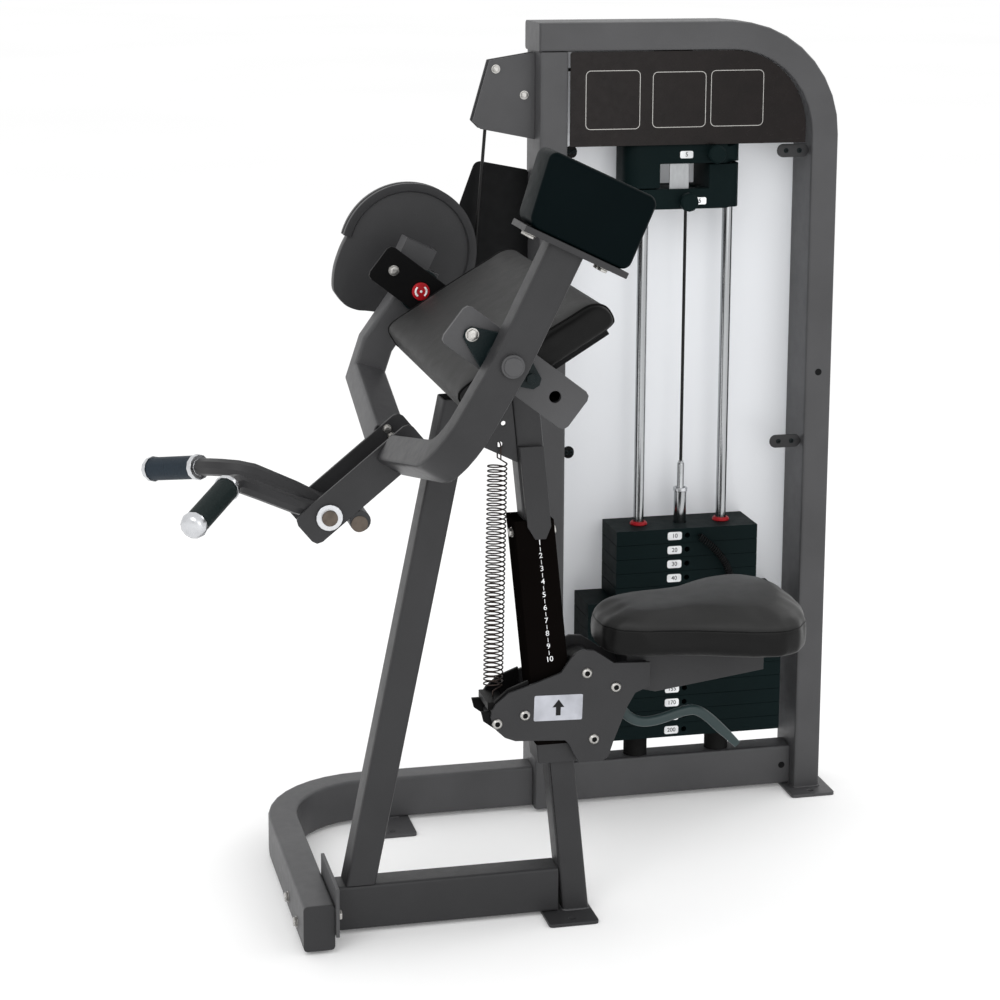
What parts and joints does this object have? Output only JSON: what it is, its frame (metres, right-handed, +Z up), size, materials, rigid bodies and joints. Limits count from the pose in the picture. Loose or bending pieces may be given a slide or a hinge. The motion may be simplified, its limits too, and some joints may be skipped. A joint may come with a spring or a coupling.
{
  "type": "biceps curl machine",
  "caption": "Plate-stack arm curl machine: sloped arm pad, swinging arms with counterweight and angled grips, sliding saddle seat, and a hooped tower with cable and cam",
  "frame": {"origin": "on the floor, under the middle of the seat column's foot plate", "axes": "+Z up; the user sits facing -X; +Y points from the seat towards the weight tower"},
  "size_m": [1.292, 0.953, 1.44],
  "materials": {
    "frame_paint": "textured powder coat, satin",
    "black_paint": "satin powder coat",
    "stack_paint": "dark green-black satin coat",
    "vinyl": "embossed upholstery vinyl",
    "chrome": "polished",
    "alloy": "satin",
    "grip_rubber": "matt",
    "rubber": "matt",
    "panel_plastic": "frosted",
    "black_plastic": "satin",
    "cable_coating": "smooth",
    "zinc": "galvanised",
    "spring_steel": "bright drawn wire",
    "cast_black": "painted black"
  },
  "bodies": {
    "frame": {"tower_left_post": "frame_paint", "tower_hoop": "frame_paint", "tower_end_cap": "black_plastic", "tower_bottom_tube": "frame_paint", "base_curved_tube": "frame_paint", "base_end_cap": "black_plastic", "base_rubber_pad": "rubber", "seat_frame_base_tube": "frame_paint", "base_joint_bracket": "frame_paint", "front_leg": "frame_paint", "seat_column": "frame_paint", "seat_index_rail": "black_paint", "head_web_plate": "frame_paint", "pad_cross_tube": "frame_paint", "bearing_plate_near": "frame_paint", "bearing_plate_far": "black_paint", "flange_bearing_near": "cast_black", "flange_bearing_far": "cast_black", "arm_pad": "vinyl", "pad_board": "black_plastic", "side_pulley_bracket": "frame_paint", "top_pulley_bracket": "frame_paint", "rod_holder": "frame_paint", "cable_top_run": "cable_coating", "guide_rod_left": "chrome", "guide_rod_right": "chrome", "stack_bumper_left": "rubber", "stack_bumper_right": "rubber", "resting_plates": "stack_paint", "add_on_strap": "zinc", "add_on_weight_upper": "stack_paint", "rear_panel": "panel_plastic", "cam_guard_panel": "black_plastic", "placard": "stack_paint", "cable_cam_run": "cable_coating", "cable_stack_run": "cable_coating", "seat_spring": "spring_steel"},
    "arms": {"near_arm": "frame_paint", "far_arm": "frame_paint", "counterweight": "stack_paint", "handle_carrier": "black_paint", "handle_pin": "alloy", "cam": "frame_paint", "cable_on_cam": "cable_coating"},
    "handle": {"handle_bar": "frame_paint", "grip_near": "grip_rubber", "grip_far": "grip_rubber"},
    "stack": {"lifted_plates": "stack_paint", "selector_stem": "chrome", "pin_lanyard": "cable_coating"},
    "pin": {"selector_pin": "black_plastic"},
    "side_pulley": {"side_pulley": "black_plastic"},
    "top_pulley": {"top_pulley": "black_plastic"},
    "add_on_lower": {"add_on_weight_lower": "stack_paint"},
    "seat": {"seat_carriage": "frame_paint", "seat_arm": "frame_paint", "seat_pad": "vinyl", "spring_bracket": "black_paint"},
    "roller": {"seat_roller": "black_plastic"},
    "lever": {"seat_lever": "stack_paint"}
  },
  "joints": [
    {"name": "stack_lift", "type": "slide", "parent": "frame", "child": "stack", "axis": [0, 0, 1], "range_m": [0, 0.25], "deforming": ["cable_stack_run"]},
    {"name": "arm_pivot", "type": "hinge", "parent": "frame", "child": "arms", "pos_m": [-0.181, 0, 1], "axis": [0, 1, 0], "range_deg": [0, 110], "deforming": ["cable_cam_run"]},
    {"name": "handle_swivel", "type": "hinge", "parent": "arms", "child": "handle", "pos_m": [-0.39524, 0, 0.70611], "axis": [0, 1, 0], "range_deg": [-30, 60]},
    {"name": "selector_pin_pull", "type": "slide", "parent": "stack", "child": "pin", "axis": [0, -1, 0], "range_m": [0, 0.07]},
    {"name": "side_pulley_spin", "type": "hinge", "parent": "frame", "child": "side_pulley", "pos_m": [0.013, 0.4708, 1.317], "axis": [0, 1, 0], "range_deg": [-377, 0]},
    {"name": "top_pulley_spin", "type": "hinge", "parent": "frame", "child": "top_pulley", "pos_m": [0.308, 0.4708, 1.323], "axis": [0, 1, 0], "range_deg": [-448, 0]},
    {"name": "add_on_drop", "type": "slide", "parent": "frame", "child": "add_on_lower", "axis": [0, 0, 1], "range_m": [-0.28, 0]},
    {"name": "seat_slide", "type": "slide", "parent": "frame", "child": "seat", "axis": [-0.1045, 0, 0.9945], "range_m": [0, 0.196], "deforming": ["seat_spring"]},
    {"name": "seat_roller_spin", "type": "hinge", "parent": "seat", "child": "roller", "pos_m": [0.0241, 0, 0.422], "axis": [0, 1, 0], "range_deg": [-432, 0]},
    {"name": "seat_lever_lift", "type": "hinge", "parent": "seat", "child": "lever", "pos_m": [0.073, 0, 0.395], "axis": [0, -1, 0], "range_deg": [0, 9], "stiffness_Nm_per_rad": 8, "springref_deg": -5.73}
  ],
  "couplings": [
    {"joint": "arm_pivot", "follows": "stack_lift", "rad_per_m": 7.652},
    {"joint": "side_pulley_spin", "follows": "stack_lift", "rad_per_m": -26.316},
    {"joint": "top_pulley_spin", "follows": "stack_lift", "rad_per_m": -31.25},
    {"joint": "seat_roller_spin", "follows": "seat_slide", "rad_per_m": -38.462}
  ]
}
